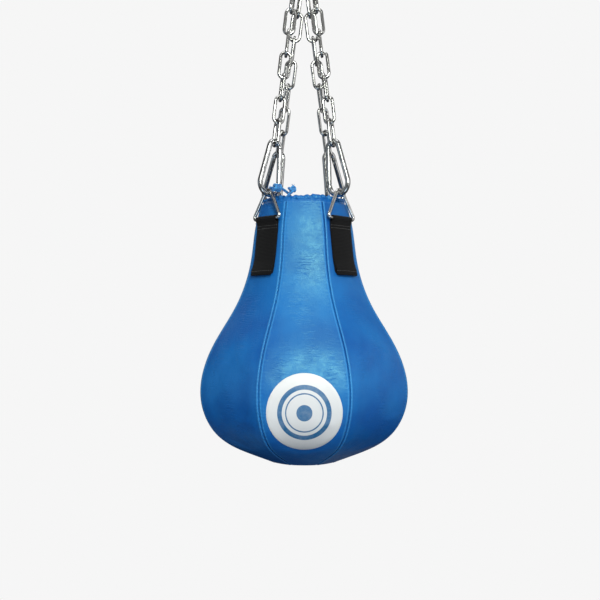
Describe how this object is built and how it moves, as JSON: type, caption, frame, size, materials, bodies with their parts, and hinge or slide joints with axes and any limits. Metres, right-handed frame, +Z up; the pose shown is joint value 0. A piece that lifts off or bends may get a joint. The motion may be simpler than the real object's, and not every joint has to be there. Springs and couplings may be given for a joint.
{
  "type": "heavy punching bag",
  "caption": "Pear-shaped leather punching bag hung by webbing straps, delta rings, snap hooks and chains from one ring under a ball-bearing swivel.",
  "frame": {"origin": "middle of the swivel's hanging eye, so that everything hangs below it", "axes": "+Z up along the swivel's axis, the front with the roundel faces -Y, the eye's bore runs along Y"},
  "size_m": [0.3142, 0.3149, 0.8927],
  "materials": {
    "blue_leather": "smooth full-grain leather, satin sheen",
    "white_leather": "matte printed patch",
    "felt_lining": "felt and foam wadding",
    "textile_filling": "compressed shredded textile",
    "blue_lace": "braided cord",
    "black_webbing": "ribbed nylon webbing",
    "chromed_steel": "polished plating",
    "zinc_steel": "bright zinc plate",
    "spring_steel": "drawn wire",
    "bearing_steel": "ground and polished"
  },
  "bodies": {
    "hanger": {"swivel_eye": "zinc_steel", "swivel_housing": "zinc_steel", "bearing_race_lower": "bearing_steel", "bearing_balls": "bearing_steel"},
    "swivel": {"swivel_stem": "zinc_steel", "swivel_nut": "zinc_steel", "bearing_race_upper": "bearing_steel"},
    "ring": {"hanging_ring": "chromed_steel"},
    "bag": {"panel_front": "blue_leather", "panel_front_right": "blue_leather", "panel_right": "blue_leather", "panel_back_right": "blue_leather", "panel_back": "blue_leather", "panel_back_left": "blue_leather", "panel_left": "blue_leather", "panel_front_left": "blue_leather", "base_disc": "blue_leather", "drawstring_hem": "blue_leather", "top_cover": "blue_leather", "front_roundel": "white_leather", "foam_lining": "felt_lining", "filling": "textile_filling", "drawcord": "blue_lace", "lace_end_long": "blue_lace", "lace_end_short": "blue_lace", "lace_knot_long": "blue_lace", "lace_knot_short": "blue_lace", "strap_front_left": "black_webbing", "delta_ring_front_left": "chromed_steel", "snap_hook_front_left": "zinc_steel", "gate_pin_front_left": "zinc_steel", "chain_front_left": "chromed_steel", "strap_front_right": "black_webbing", "delta_ring_front_right": "chromed_steel", "snap_hook_front_right": "zinc_steel", "gate_pin_front_right": "zinc_steel", "chain_front_right": "chromed_steel", "strap_back_right": "black_webbing", "delta_ring_back_right": "chromed_steel", "snap_hook_back_right": "zinc_steel", "gate_pin_back_right": "zinc_steel", "chain_back_right": "chromed_steel", "strap_back_left": "black_webbing", "delta_ring_back_left": "chromed_steel", "snap_hook_back_left": "zinc_steel", "gate_pin_back_left": "zinc_steel", "chain_back_left": "chromed_steel"},
    "gate_front_left": {"hook_gate_front_left": "zinc_steel", "gate_spring_front_left": "spring_steel"},
    "gate_front_right": {"hook_gate_front_right": "zinc_steel", "gate_spring_front_right": "spring_steel"},
    "gate_back_right": {"hook_gate_back_right": "zinc_steel", "gate_spring_back_right": "spring_steel"},
    "gate_back_left": {"hook_gate_back_left": "zinc_steel", "gate_spring_back_left": "spring_steel"}
  },
  "joints": [
    {"name": "swivel_spin", "type": "hinge", "parent": "hanger", "child": "swivel", "pos_m": [0, 0, -0.05145], "axis": [0, 0, 1], "continuous": true},
    {"name": "ring_tilt", "type": "hinge", "parent": "swivel", "child": "ring", "pos_m": [0, 0, -0.0885], "axis": [1, 0, 0], "range_deg": [-45, 45]},
    {"name": "bag_swing", "type": "hinge", "parent": "ring", "child": "bag", "pos_m": [0, 0, -0.1225], "axis": [0, 1, 0], "range_deg": [-45, 45]},
    {"name": "gate_front_left_open", "type": "hinge", "parent": "bag", "child": "gate_front_left", "pos_m": [-0.03637, -0.03788, -0.40644], "axis": [-0.6292, 0.777, -0.0203], "range_deg": [0, 24], "stiffness_Nm_per_rad": 0.1, "springref_deg": -28.65},
    {"name": "gate_front_right_open", "type": "hinge", "parent": "bag", "child": "gate_front_right", "pos_m": [0.03637, -0.03788, -0.40644], "axis": [-0.6292, -0.777, 0.0203], "range_deg": [0, 24], "stiffness_Nm_per_rad": 0.1, "springref_deg": -28.65},
    {"name": "gate_back_right_open", "type": "hinge", "parent": "bag", "child": "gate_back_right", "pos_m": [0.04873, 0.04718, -0.4029], "axis": [-0.6291, 0.7768, 0.028], "range_deg": [0, 24], "stiffness_Nm_per_rad": 0.1, "springref_deg": -28.65},
    {"name": "gate_back_left_open", "type": "hinge", "parent": "bag", "child": "gate_back_left", "pos_m": [-0.04873, 0.04718, -0.4029], "axis": [-0.6291, -0.7768, -0.028], "range_deg": [0, 24], "stiffness_Nm_per_rad": 0.1, "springref_deg": -28.65}
  ]
}
